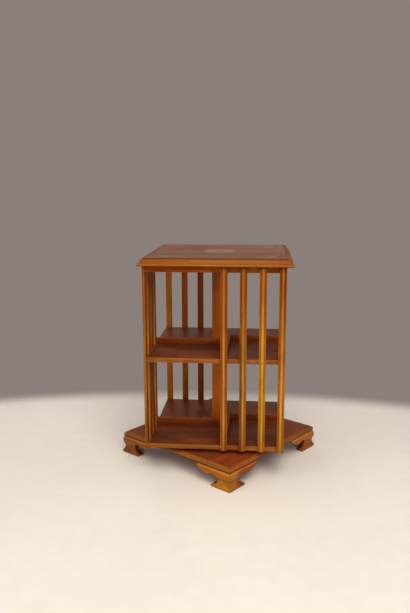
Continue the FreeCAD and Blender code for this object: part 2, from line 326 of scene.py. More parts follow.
def slice_off(obj, normal):
    """Cut away what lies behind a plane through the spindle, and close the cut."""
    lone(obj)
    bpy.ops.object.mode_set(mode="EDIT")
    bpy.ops.mesh.select_all(action="SELECT")
    bpy.ops.mesh.bisect(plane_co=(0.0, 0.0, 0.0), plane_no=normal, use_fill=True, clear_inner=True)
    bpy.ops.mesh.select_all(action="SELECT")
    bpy.ops.mesh.remove_doubles(threshold=WELD)
    face_outwards()
    return obj


def duplicate(obj, name, move):
    """A copy with its own mesh, placed by a matrix."""
    lone(obj)
    bpy.ops.object.duplicate()
    copy = named(name)
    copy.matrix_world = move
    bpy.ops.object.transform_apply()
    return copy


def turned(angle_round, shift=(0.0, 0.0, 0.0)):
    """A move by a shift and then a turn about the spindle."""
    return Matrix.Rotation(angle_round, 4, "Z") @ Matrix.Translation(shift)


def mirrored(obj, name, normal):
    """A mirrored copy with its own mesh."""
    copy = duplicate(obj, name, Matrix.Scale(-1, 4, normal))
    bpy.ops.object.mode_set(mode="EDIT")
    face_outwards()
    return copy


def on_four_sides(pattern, name, turn=0.0):
    """Copies of a pattern on the four sides, with their number, side and turn. The pattern is used up."""
    for number, (side, quarter) in enumerate(SIDES.items()):
        yield number, side, quarter + turn, duplicate(pattern, name % side, turned(quarter + turn))
    bpy.data.objects.remove(pattern)


def join(name, objects):
    """Join several objects into one."""
    lone(objects[0])
    for obj in objects[1:]:
        obj.select_set(True)
    bpy.ops.object.join()
    return named(name)


def coat(obj, finish):
    """Give an object one finish."""
    obj.data.materials.clear()
    obj.data.materials.append(finish)


def fit(piece, body, slot, finish, *nodes):
    """Give a finished piece its finish and its body, and hide the nodes it stands for."""
    coat(piece, finish)
    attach(piece, body)
    if nodes:
        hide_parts(*nodes)


class Pen:
    """Draws an outline in edit mode by lines and arcs, and pulls it out to a solid."""

    def __init__(self, name, start):
        bpy.ops.object.select_all(action="DESELECT")
        bpy.ops.mesh.primitive_plane_add(size=MM, location=start)
        bpy.ops.object.transform_apply()
        self.obj = named(name)
        self.here = Vector(start)
        bpy.ops.object.mode_set(mode="EDIT")
        bpy.ops.mesh.select_mode(type="VERT")
        bpy.ops.mesh.select_all(action="SELECT")
        bpy.ops.mesh.merge(type="CENTER")

    def line(self, end):
        """Draw a straight edge."""
        bpy.ops.mesh.extrude_vertices_move(TRANSFORM_OT_translate={"value": Vector(end) - self.here})
        self.here = Vector(end)

    def arc(self, via, end):
        """Draw an arc through a point."""
        to_via = Vector(via) - self.here
        to_end = Vector(end) - self.here
        normal = to_via.cross(to_end)
        offset = normal.cross(to_via) * to_end.length_squared + to_end.cross(normal) * to_via.length_squared
        centre = self.here + offset / (2 * normal.length_squared)
        first, last = self.here - centre, Vector(end) - centre
        normal.normalize()
        sweep = math.atan2(normal.dot(first.cross(last)), first.dot(last)) % (2 * math.pi)
        bpy.ops.mesh.spin(steps=ARC_STEPS, angle=-sweep, center=centre, axis=normal)
        self.here = Vector(end)

    def solid(self, along):
        """Fill the closed outline and pull it out along a vector."""
        bpy.ops.mesh.select_all(action="SELECT")
        bpy.ops.mesh.remove_doubles(threshold=WELD)
        bpy.ops.mesh.edge_face_add()
        bpy.ops.mesh.extrude_region_move(TRANSFORM_OT_translate={"value": along})
        face_outwards()
        return self.obj


def drawn(name, steps, place, along):
    """A solid from the steps of an outline: a step of one point is a line, one of two points an arc."""
    pen = Pen(name, place(*steps[0][0]))
    for step in steps[1:] + steps[:1]:
        points = [place(*point) for point in step]
        if len(points) == 1:
            pen.line(points[0])
        else:
            pen.arc(*points)
    return pen.solid(along)


# Finishes


class Field:
    """A value or colour over a surface. Arithmetic on values adds Math nodes."""

    def __init__(self, finish, socket):
        self.finish = finish
        self.socket = socket

    def math(self, operation, *others):
        """A Math node whose first value is this one."""
        return self.finish.math(operation, self, *others)

    def __add__(self, other):
        return self.math("ADD", other)

    def __sub__(self, other):
        return self.math("SUBTRACT", other)

    def __mul__(self, other):
        return self.math("MULTIPLY", other)

    def __truediv__(self, other):
        return self.math("DIVIDE", other)

    def __rsub__(self, other):
        return self.finish.math("SUBTRACT", other, self)

    def __rtruediv__(self, other):
        return self.finish.math("DIVIDE", other, self)

    __radd__ = __add__
    __rmul__ = __mul__

    def size(self):
        """The value without its sign."""
        return self.math("ABSOLUTE")

    def least(self, other):
        """The smaller of two values."""
        return self.math("MINIMUM", other)

    def most(self, other):
        """The larger of two values."""
        return self.math("MAXIMUM", other)

    def rise(self, start, end, low=0.0, high=1.0):
        """Low below start and high above end, with a smooth change between them."""
        return self.finish.add("ShaderNodeMapRange", {"interpolation_type": "SMOOTHSTEP"},
                               {"Value": self, "From Min": start, "From Max": end,
                                "To Min": low, "To Max": high})

    def fall(self, start, end):
        """One below start and nought above end, with a smooth change between them."""
        return self.rise(start, end, 1.0, 0.0)


class Finish:
    """A procedural material, or the world, while it is made."""

    def __init__(self, name, owner=None):
        self.owner = owner or bpy.data.materials.new(name)
        self.owner.use_nodes = True
        self.tree = self.owner.node_tree
        self.tree.nodes.clear()

    def add(self, kind, settings=None, inputs=None, output=0):
        """Add a node: its settings come first, and then the values or links of its sockets."""
        node = self.tree.nodes.new(kind)
        for key, value in (settings or {}).items():
            setattr(node, key, value)
        for key, value in (inputs or {}).items():
            if isinstance(value, Field):
                self.tree.links.new(value.socket, node.inputs[key])
            else:
                node.inputs[key].default_value = value
        return Field(self, node.outputs[output]) if node.outputs else None

    def math(self, operation, *values):
        """A Math node."""
        return self.add("ShaderNodeMath", {"operation": operation}, dict(enumerate(values)))

    def mix(self, amount, first, second, blend="MIX"):
        """A mix of two colours."""
        colours = [value if isinstance(value, Field) else (*value, 1.0) for value in (first, second)]
        return self.add("ShaderNodeMix", {"data_type": "RGBA", "blend_type": blend},
                        {0: amount, 6: colours[0], 7: colours[1]}, 2)

    def place(self, turn=0.0):
        """Place on the object in metres, in axes turned about the spindle."""
        spot = self.add("ShaderNodeTexCoord", output="Object")
        return self.add("ShaderNodeMapping", inputs={"Vector": spot, "Rotation": (0.0, 0.0, -turn)})

    def parts(self, vector):
        """The three parts of a vector."""
        node = self.add("ShaderNodeSeparateXYZ", inputs={"Vector": vector}).socket.node
        return [Field(self, output) for output in node.outputs]

    def noise(self, vector, scale, shift=0.0, detail=2.0, rough=0.5):
        """Noise on a vector that is stretched by a scale, one for all axes or one for each."""
        if isinstance(scale, float):
            scale = (scale, scale, scale)
        spread = self.add("ShaderNodeMapping", inputs={"Vector": vector, "Scale": scale,
                                                       "Location": (shift, 1.7 * shift, 2.3 * shift)})
        return self.add("ShaderNodeTexNoise", inputs={"Vector": spread, "Scale": 1.0, "Detail": detail,
                                                      "Roughness": rough})

    def surface(self, base, roughness, height=None, depth=0.1 * MM, **constants):
        """Join colour, gloss and relief in the shader, with its constant settings."""
        inputs = {"Base Color": base, "Roughness": roughness}
        if height is not None:
            inputs["Normal"] = self.add("ShaderNodeBump", inputs={"Strength": 1.0, "Distance": depth,
                                                                  "Height": height})
        inputs.update({name.replace("_", " "): value for name, value in constants.items()})
        return self.add("ShaderNodeBsdfPrincipled", inputs=inputs)

    def done(self, shader):
        """Join a shader to the material's output, and return the material."""
        self.add("ShaderNodeOutputMaterial", inputs={"Surface": shader})
        return self.owner


def span(x, y):
    """Distance of a point in a plane from its origin."""
    return (x * x + y * y).math("SQRT")


def along(run, lengthwise, crosswise):
    """A scale for each axis, with the grain along X, Y or Z."""
    return [lengthwise if axis == run else crosswise for axis in "XYZ"]


class Timber:
    """Grain of a board: its colour, gloss and relief fields."""

    def __init__(self, finish, place, run, light, dark, shift, warmth=0.5, contrast=1.0):
        _, woods = scene_settings()
        bands = finish.noise(place, along(run, 1.6, 24.0), shift, 3.0)
        streaks = finish.noise(place, along(run, 6.0, 170.0), shift + 3.1, 3.0, 0.6)
        fibres = finish.noise(place, along(run, 34.0, 1300.0), shift + 5.3, 2.0, 0.6)
        mottle = finish.noise(place, along(run, 9.0, 16.0), shift + 7.9, 3.0)
        pores = finish.noise(place, along(run, 95.0, 2300.0), shift + 11.3, 1.0)
        drift = finish.noise(place, 4.0, shift + 13.7, 2.0)
        middle = 0.5 + 0.12 * (0.5 - warmth)
        reach = 0.17 / contrast
        tone = (bands * 0.42 + streaks * 0.33 + mottle * 0.25).rise(middle - reach, middle + reach)
        base = finish.mix(tone, dark, light)
        base = finish.mix(drift.rise(0.42, 0.66) * 0.8, base, woods.red_cast, "MULTIPLY")
        base = finish.mix((fibres - 0.5) * 0.9 + 0.28, base, woods.pore_and_shade)
        pores = pores.rise(0.60, 0.70)
        self.finish = finish
        self.fibres = fibres
        self.colour = finish.mix(pores * 0.38, base, woods.pore_and_shade)
        self.gloss = 0.30 + mottle * 0.16 + fibres * 0.08
        self.height = fibres * 0.35 - pores * 0.9

    def tint_where(self, mask, tint):
        """Tint the wood where a mask says."""
        self.colour = self.finish.mix(mask, self.colour, tint)

    def done(self, coat=0.05, glint=0.4, ior=1.45, glint_tint=AMBER):
        """The finished wood, under a polish with an amber glint."""
        shader = self.finish.surface(self.colour, self.gloss, self.height, 0.05 * MM, Coat_Weight=coat,
                                     Coat_Roughness=0.22, IOR=ior, Specular_IOR_Level=glint,
                                     Specular_Tint=glint_tint)
        return self.finish.done(shader)


def brighter(tint, times):
    """A colour made brighter, and kept within its range."""
    return [min(1.0, times * part) for part in tint]


def toned(cast, *tints):
    """Colours with a cast on them."""
    return [[min(1.0, part * share) for part, share in zip(tint, cast)] for tint in tints]


def edge_distance(finish, place, low, high):
    """Distance from the nearest edge of a board, for a point on its surface."""
    centre, half = (low + high) / 2, (high - low) / 2
    x, y, z = [(h - (p - c).size()) for p, c, h in zip(finish.parts(place), centre, half)]
    return x.most(y).least(x.least(y).most(z))


def board_finish(name, box, run, light, dark, shift, turn=0.0, warmth=0.5, top_highlight=0.0, tier_light_and_shade=0.0):
    """Polished wood of a board, worn a little along its edges, with a painted highlight along its top, and
    with painted light low down and painted shade at its top and foot.
    """
    finish = Finish(name)
    place = finish.place(turn)
    wood = Timber(finish, place, run, light, dark, shift, warmth)
    edge = edge_distance(finish, place, *box)
    wear_and_light_noise = finish.noise(place, 40.0, shift)
    wood.tint_where((edge + wear_and_light_noise * 1.2 * MM).fall(0.6 * MM, 1.6 * MM) * 0.35, light)
    _, _, z = finish.parts(place)
    # Painted highlight along the top, where the light falls on it.
    if top_highlight:
        top = z.rise(box[1].z - 1.2 * MM, box[1].z - 0.2 * MM)
        wood.tint_where(top * (0.2 + wear_and_light_noise) * top_highlight, brighter(light, 1.5))
    # Painted light on the lower part, and painted shade at the top, under the case's top board, and at the
    # foot, behind the lower book stop.
    if tier_light_and_shade:
        wood.tint_where(z.fall(0.15, 0.42) * tier_light_and_shade, brighter(light, 1.4))
        wood.tint_where((z + (wear_and_light_noise - 0.5) * 0.08).rise(0.45, 0.55) * 0.7, toned((0.5, 0.38, 0.4), dark)[0])
        wood.tint_where((z + (wear_and_light_noise - 0.5) * 0.03).fall(0.10, 0.17) * 0.6, brighter(dark, 0.7))
    return wood.done()


def shelf_finish(name, box, light, dark, shift, lip_light, lip_dark, overhang_shade=0.0):
    """Veneered board with a solid lipping round its edges and a dark joint between them, with painted light
    towards its back; the board under the top also gets a painted shadow under the top's overhang and painted
    shade on its right half.
    """
    _, woods = scene_settings()
    finish = Finish(name)
    place = finish.place()
    low, high = box
    wood = Timber(finish, place, "X", light, dark, shift, contrast=1.3)
    smudge = finish.noise(place, (11.0, 17.0, 11.0), shift + 2.0, 4.0)
    wood.tint_where(smudge.rise(0.50, 0.72) * 0.5, brighter(light, 1.35))
    x, y, z = finish.parts(place)
    # Painted light: the back of the board is made lighter, against the shade there.
    wood.tint_where(y.rise(-40 * MM, 20 * MM) * 0.28, brighter(light, 2.2))
    inset = (high.x - x.size()).least(high.y - y.size())
    sides = (y.size() - x.size()).rise(-0.1 * MM, 0.1 * MM)
    lengthwise = finish.noise(place, (9.0, 420.0, 420.0), shift + 1.0, 3.0)
    crosswise = finish.noise(place, (420.0, 9.0, 420.0), shift + 4.0, 3.0)
    grain = lengthwise * sides + crosswise * (1.0 - sides)
    drift = finish.noise(place, 16.0, shift + 6.0, 2.0)
    solid = finish.mix((grain * 0.6 + drift * 0.4).rise(0.40, 0.60), lip_dark, lip_light)
    wood.colour = finish.mix(inset.fall(2.9 * MM, 3.1 * MM), wood.colour, solid)
    wood.tint_where((inset - 3.4 * MM).size().fall(0.2 * MM, 0.8 * MM) * 0.6, woods.pore_and_shade)
    arris = (high.z - z).least(z - low.z).fall(0.3 * MM, 1.3 * MM) * inset.fall(0.3 * MM, 1.3 * MM)
    wood.tint_where(arris * smudge * 0.9, brighter(lip_light, 1.3))
    # Painted shadow under the top's overhang, and painted shade on the right half of the board.
    if overhang_shade:
        wood.tint_where((high.z - z).fall(0.5 * MM, 5 * MM) * (0.4 + smudge) * overhang_shade, woods.grime_and_shade)
        wood.tint_where((x + (drift - 0.5) * 0.05).rise(-0.01, 0.05) * 0.6 * overhang_shade, lip_dark)
    wood.gloss = 0.26 + smudge * 0.16 + wood.fibres * 0.05
    return wood.done(0.0, 0.4, 1.3, AMBER) if overhang_shade else wood.done(0.0, 0.4, 1.35, PALE_AMBER)


def slat_finish(name, turn, low, high, cast, inner, warmth, shift, spots):
    """Honey-coloured wood of a slat, with painted light lower down, a painted highlight on its reed, painted
    shade on its flanks, beads, grooves, ends and inner face, and a painted shadow under the top.
    """
    sizes, woods = scene_settings()
    finish = Finish(name)
    place = finish.place(turn)
    x, y, z = finish.parts(place)
    depth = y - low.y
    front = depth.fall(2.7 * MM, 3.3 * MM)
    # Painted light: the grain is made lighter and yellower lower down.
    upper, lower = toned(cast, woods.slat_light, woods.slat_lit_lower)
    light = finish.mix(z.rise(0.28, 0.52), lower, upper)
    wood = Timber(finish, place, "Z", light, woods.slat_dark, shift, warmth)
    half = (high.x - low.x) / 2
    side = x - (low.x + high.x) / 2
    across = side.size()
    wear_and_light_noise = finish.noise(place, (60.0, 60.0, 16.0), shift + 2.0, 3.0)
    # Painted highlight along the reed's crest.
    crest_highlight = finish.mix(z.rise(0.26, 0.50), brighter(lower, 1.3), brighter(upper, 1.25))
    wood.tint_where(across.fall(0.8 * MM, 3.4 * MM) * front * (wear_and_light_noise * 0.8), crest_highlight)
    # Painted shade on the reed's flanks, stronger on the right, and on the beads.
    flank_shade = across.rise(2.6 * MM, 4.6 * MM) * across.fall(5.3 * MM, 5.9 * MM)
    wood.tint_where(flank_shade * front * (wear_and_light_noise * 0.9) * side.rise(-6 * MM, 5 * MM), woods.slat_dark)
    bead_shade = across.rise(half - 2.2 * MM, half - 1.4 * MM)
    wood.tint_where(bead_shade * front * (0.04 + wear_and_light_noise * 0.2), woods.slat_dark)
    # Painted shade in the grooves, stronger on the left.
    groove = half - sizes.bead_width - sizes.groove_width / 2
    lines = (across - groove).size().fall(0.3 * MM, 0.9 * MM) * front
    wood.tint_where(lines * (0.1 + wear_and_light_noise * 0.5) * side.fall(-3 * MM, 9 * MM), woods.pore_and_shade)
    wood.tint_where(z.fall(0.09, 0.22) * 0.4, woods.slat_dark)
    # Painted shade on the inner face.
    inside = depth.rise(high.y - low.y - 0.8 * MM, high.y - low.y - 0.3 * MM)
    wood.tint_where(inside * (0.55 + wear_and_light_noise * 0.5), inner)
    # Painted shade at both ends, where the slat meets the boards, and a painted shadow under the top's
    # overhang.
    ends = (z - low.z).least(high.z - z)
    wood.tint_where(ends.fall(0.0, 7 * MM) * wear_and_light_noise * 0.8, woods.slat_dark)
    wood.tint_where((high.z - z).fall(0.5 * MM, 6 * MM) * 0.7, woods.grime_and_shade)
    for spot_x, spot_z, radius, tint in spots:
        away = span(x - spot_x, z - spot_z)
        wood.tint_where((away + (wear_and_light_noise - 0.5) * radius).fall(0.5 * radius, radius) * front * 0.85, tint)
    return wood.done(0.02, 0.4, 1.3)


def strip_finish(name, turn, light, dark, shift, lines=(), cut_faces_dirty_and_shaded=None, shade_toward_ends=(),
                 mitre_width=0.6 * MM):
    """Polished wood of a mitred strip, with lines of grime, painted shade and painted highlight at some
    heights, grime and painted shade on its cut faces, and painted shade towards one end.
    """
    _, woods = scene_settings()
    finish = Finish(name)
    place = finish.place(turn)
    wood = Timber(finish, place, "X", light, dark, shift)
    wear_and_light_noise = finish.noise(place, (24.0, 60.0, 60.0), shift + 4.0, 3.0)
    x, y, z = finish.parts(place)
    # Painted shade towards one end of the strip.
    for start, end, tint in shade_toward_ends:
        wood.tint_where((x + (wear_and_light_noise - 0.5) * 0.8 * (end - start)).rise(start, end) * 0.85, tint)
    # Lines of grime, painted shade and painted highlight at the given heights.
    for height, width, amount, tint in lines:
        wood.tint_where((z - height).size().fall(width * 0.4, width) * (0.5 + wear_and_light_noise) * amount, tint)
    mitre = (x.size() - y.size()).size().fall(0.25 * mitre_width, mitre_width)
    wood.tint_where(mitre * (0.2 + wear_and_light_noise * 0.9), woods.pore_and_shade)
    # Grime and painted shade on the cut faces behind the waist.
    if cut_faces_dirty_and_shaded:
        wood.tint_where(y.rise(*cut_faces_dirty_and_shaded) * (0.6 + wear_and_light_noise * 0.5), woods.grime_and_shade)
    return wood.done(0.02, 0.3)


def metal_finish(name, base, dark, roughness, scale):
    """Worn metal with a faint dull film."""
    finish = Finish(name)
    place = finish.place()
    film = finish.noise(place, scale, 1.0, 4.0)
    lines = finish.noise(place, (220.0, 220.0, 2600.0), 2.0)
    tint = finish.mix(film.rise(0.35, 0.7), base, dark)
    gloss = roughness + film * 0.2 + lines * 0.08
    return finish.done(finish.surface(tint, gloss, lines, 0.01 * MM, Metallic=1.0))


# Operators, one for each piece or group of like pieces


class BOOKCASE_OT_slats(Operator):
    """Model the reeded slat and copy it to its sixteen places"""

    bl_idname = "bookcase.slats"
    bl_label = "Reeded Slats"

    def execute(self, context):
        sizes, woods = scene_settings()
        low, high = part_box("front_slat_1")
        width, thickness = high.x - low.x, high.y - low.y
        bead = thickness - sizes.bead_drop
        bead_spring = bead - sizes.bead_width / 2
        groove = thickness - sizes.groove_depth
        reed = thickness - sizes.reed_rise
        bead_end = sizes.bead_width
        reed_start = bead_end + sizes.groove_width
        steps = [
            [(0, 0)],
            [(width, 0)],
            [(width, bead_spring)],
            [(width - bead_end / 2, bead), (width - bead_end, bead_spring)],
            [(width - bead_end, groove)],
            [(width - reed_start, groove)],
            [(width - reed_start, reed)],
            [(width / 2, thickness), (reed_start, reed)],
            [(reed_start, groove)],
            [(bead_end, groove)],
            [(bead_end, bead_spring)],
            [(bead_end / 2, bead), (0, bead_spring)],
        ]
        pattern = drawn("slat", steps, lambda across, out: Vector((low.x + across, high.y - out, low.z)),
                        Vector((0, 0, high.z - low.z)))
        ease(pattern, sizes.fine_arris)
        casts = {
            "front": ((1.0, 0.92, 1.0), (0.86, 0.86, 0.8), (1.32, 1.44, 0.95), (1.03, 1.1, 1.1)),
            "right": ((0.95, 0.92, 1.0), (1.05, 1.1, 1.0), (0.9, 0.85, 0.9), UNTINTED),
            "back": ((0.95, 0.9, 0.9), (0.9, 0.84, 0.85), (1.1, 1.12, 0.95), UNTINTED),
            "left": (UNTINTED, (0.9, 0.8, 0.8), (1.0, 1.05, 1.0), (0.9, 0.85, 0.8)),
        }
        # Painted light and shade on the inner faces of the back and left slats, tuned slat by slat to the
        # light that reaches each.
        inner_face_shading = {
            "front": casts["front"],
            "right": casts["right"],
            "back": ((1.1, 1.2, 1.0), (1.12, 1.2, 1.0), (1.53, 1.5, 1.0), (2.1, 4.2, 10.0)),
            "left": ((1.05, 0.92, 1.0), (1.0, 0.82, 0.9), (1.05, 0.95, 1.0), (1.0, 0.85, 0.9)),
        }
        chance = random.Random(5)
        for side, turn in SIDES.items():
            for number, cast, inner_face_cast in zip(SLATS, casts[side], inner_face_shading[side]):
                tag = "%s_%d" % (side, number)
                node = "%s_slat_%d" % (side, number)
                start, end = box_at(node, turn)
                spots = {
                    1: [(start.x + 1.2 * MM, low.z + 11 * MM, 2.6 * MM, woods.chip)],
                    3: [((start.x + end.x) / 2, mid_height("middle_shelf"), 2.4 * MM, woods.pore_and_shade)],
                }
                slat = duplicate(pattern, "reeded_slat_" + tag, turned(turn, (start.x - low.x, 0, 0)))
                warmth = (0.8 if number == 3 else 0.5) + chance.uniform(-0.12, 0.12)
                inner = toned(inner_face_cast, woods.slat_inner_shade)[0]
                finish = slat_finish("slat_wood_" + tag, turn, start, end, cast, inner, warmth,
                                     chance.uniform(0, 40), spots.get(number, ()))
                fit(slat, "case", "slat_wood", finish, node)
        bpy.data.objects.remove(pattern)
        return {"FINISHED"}


class BOOKCASE_OT_pins(Operator):
    """Model the filled pin holes that fix the slats to the boards"""

    bl_idname = "bookcase.pins"
    bl_label = "Slat Pins"

    def execute(self, context):
        sizes, _ = scene_settings()
        low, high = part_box("front_slat_1")
        radius = sizes.pin_diameter / 2
        spot = ((low.x + high.x) / 2, low.y + PIN_LENGTH / 2 - PIN_PROUD, 0)
        bpy.ops.object.select_all(action="DESELECT")
        bpy.ops.mesh.primitive_cylinder_add(vertices=16, radius=radius, depth=PIN_LENGTH, location=spot,
                                            rotation=(math.radians(90), 0, 0))
        bpy.ops.object.transform_apply()
        pin = named("pin")
        for face in pin.data.polygons:
            face.select = face.normal.y < -0.9
        bpy.ops.object.mode_set(mode="EDIT")
        bpy.ops.mesh.select_mode(type="FACE")
        bpy.ops.mesh.inset(thickness=0.22 * radius, depth=0)
        bpy.ops.mesh.inset(thickness=0.30 * radius, depth=-0.12 * radius)
        bpy.ops.object.mode_set(mode="OBJECT")
        finish = Finish("pin_filler")
        specks = finish.noise(finish.place(), 900.0)
        tint = finish.mix(specks, (0.10, 0.030, 0.008), (0.030, 0.010, 0.004))
        filler = finish.done(finish.surface(tint, 0.55 + specks * 0.1, Specular_IOR_Level=0.3))
        for side, turn in SIDES.items():
            pins = []
            for number in SLATS:
                across = box_at("%s_slat_%d" % (side, number), turn)[0].x - low.x
                for board in SHELVES:
                    pins.append(duplicate(pin, "pin", turned(turn, (across, 0, mid_height(board)))))
            fit(join("slat_pins_" + side, pins), "case", "slat_wood", filler)
        bpy.data.objects.remove(pin)
        return {"FINISHED"}


class BOOKCASE_OT_shelves(Operator):
    """Model the boards of the case with their lipped edges"""

    bl_idname = "bookcase.shelves"
    bl_label = "Shelves"

    def execute(self, context):
        sizes, woods = scene_settings()
        for shift, name in enumerate(SHELVES):
            low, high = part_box(name)
            board = block(name + "_board", low, high)
            reach = (low.z - OVERRUN, high.z + OVERRUN)
            if name == "middle_shelf":
                carve(board, square("hole", COLUMN_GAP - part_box("column_board_front")[0].y, *reach))
            else:
                carve(board, disc("hole", BUSH_HOLE, *reach))
            ease(board, sizes.arris, 3)
            if name == "case_top":
                light, dark = woods.frieze_light, woods.frieze_dark
                finish = shelf_finish("case_top_wood", (low, high), light, dark, 4.0, light, dark, overhang_shade=0.8)
                fit(board, "case", "case_top_wood", finish, name)
            else:
                cast = (0.88, 0.8, 0.72) if name == "bottom_shelf" else UNTINTED
                light, dark = toned(cast, woods.shelf_light, woods.shelf_dark)
                finish = shelf_finish("shelf_wood_" + name, (low, high), light, dark, 2.0 + 3 * shift,
                                      woods.edge_light, woods.edge_dark)
                fit(board, "case", "shelf_wood", finish, name)
        return {"FINISHED"}


class BOOKCASE_OT_column(Operator):
    """Model the four boards of the column"""

    bl_idname = "bookcase.column"
    bl_label = "Column"

    def execute(self, context):
        sizes, woods = scene_settings()
        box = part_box("column_board_front")
        pattern = ease(block("column_board", *box), sizes.arris, 3)
        for number, side, turn, board in on_four_sides(pattern, "column_%s"):
            finish = board_finish("column_wood_" + side, box, "Z", woods.column_light, woods.column_dark,
                                  3.0 + 5 * number, turn, tier_light_and_shade=0.35)
            fit(board, "case", "column_wood", finish, "column_board_" + side)
        return {"FINISHED"}


class BOOKCASE_OT_stops(Operator):
    """Model the book stops"""

    bl_idname = "bookcase.stops"
    bl_label = "Book Stops"

    def execute(self, context):
        sizes, woods = scene_settings()
        for tier in TIERS:
            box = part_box(tier + "_book_stop_front")
            pattern = ease(block("book_stop", *box), 2 * sizes.arris, 3)
            for number, side, turn, stop in on_four_sides(pattern, tier + "_stop_%s"):
                shift = 7.0 + 3 * number + box[0].z * 10
                finish = board_finish("stop_wood_%s_%s" % (tier, side), box, "X", woods.stop_light,
                                      woods.stop_dark, shift, turn, top_highlight=0.6)
                fit(stop, "case", "stop_wood", finish, "%s_book_stop_%s" % (tier, side))
        return {"FINISHED"}


def mitred_strip(name, steps, half):
    """A strip along the front of a square, mitred at both ends, from its cross-section."""
    reach = half + OVERRUN
    strip = drawn(name, steps, lambda out, height: Vector((-reach, -out, height)), Vector((2 * reach, 0, 0)))
    slice_off(strip, (1, -1, 0))
    return slice_off(strip, (-1, -1, 0))


class BOOKCASE_OT_top_mouldings(Operator):
    """Model the mitred mouldings of the top"""

    bl_idname = "bookcase.top_mouldings"
    bl_label = "Top Mouldings"

    def execute(self, context):
        sizes, woods = scene_settings()
        low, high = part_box("top_edge_front")
        outer, inner = -low.y, -high.y
        step_line = inner + sizes.top_step
        lip_top = low.z + sizes.top_lip
        face = outer - sizes.top_nose
        curve_top = high.z - sizes.top_step

        def ogee(out, up):
            """A point of the ogee from its shares of the way out and up."""
            return step_line + out * (face - step_line), lip_top + up * (curve_top - lip_top)

        steps = [
            [(step_line, low.z)],
            [(face, low.z)],
            [(outer, low.z + sizes.top_lip / 2), (face, lip_top)],
            [ogee(0.72, 0.20), ogee(0.56, 0.55)],
            [ogee(0.36, 0.91), (step_line, curve_top)],
            [(step_line, high.z)],
            [(inner, high.z)],
            [(inner, low.z)],
        ]
        pattern = ease(mitred_strip("top_moulding", steps, outer), sizes.fine_arris)
        light, dark, end = woods.moulding_light, woods.moulding_dark, woods.moulding_end_shade
        # Painted shade on the right part of the mouldings, darkest towards the right end.
        ends = ((-0.03, 0.07, end), (0.13, 0.165, toned((0.85, 0.65, 1.1), end)[0]))
        for number, side, turn, strip in on_four_sides(pattern, "top_moulding_%s"):
            # Painted shadow under the field's step, painted shade in the crease above the lip and on the cove,
            # a painted highlight on the lip, and painted shade under it.
            lines = (
                (high.z - 0.6 * MM, 2.4 * MM, 0.3 if side == "right" else 0.7, woods.grime_and_shade),
                (lip_top, 1.0 * MM, 0.25, woods.pore_and_shade),
                (lip_top + 2.8 * MM, 3.4 * MM, 0.5, dark),
                (low.z + 4.4 * MM, 2.6 * MM, 0.25, brighter(light, 1.25)),
                (low.z + 0.6 * MM, 2.2 * MM, 0.6, brighter(dark, 0.6)),
            )
            finish = strip_finish("top_edge_wood_" + side, turn, light, dark, 1.0 + 9 * number, lines=lines,
                                  shade_toward_ends=ends)
            fit(strip, "case", "top_edge_wood", finish, "top_edge_" + side)
        return {"FINISHED"}


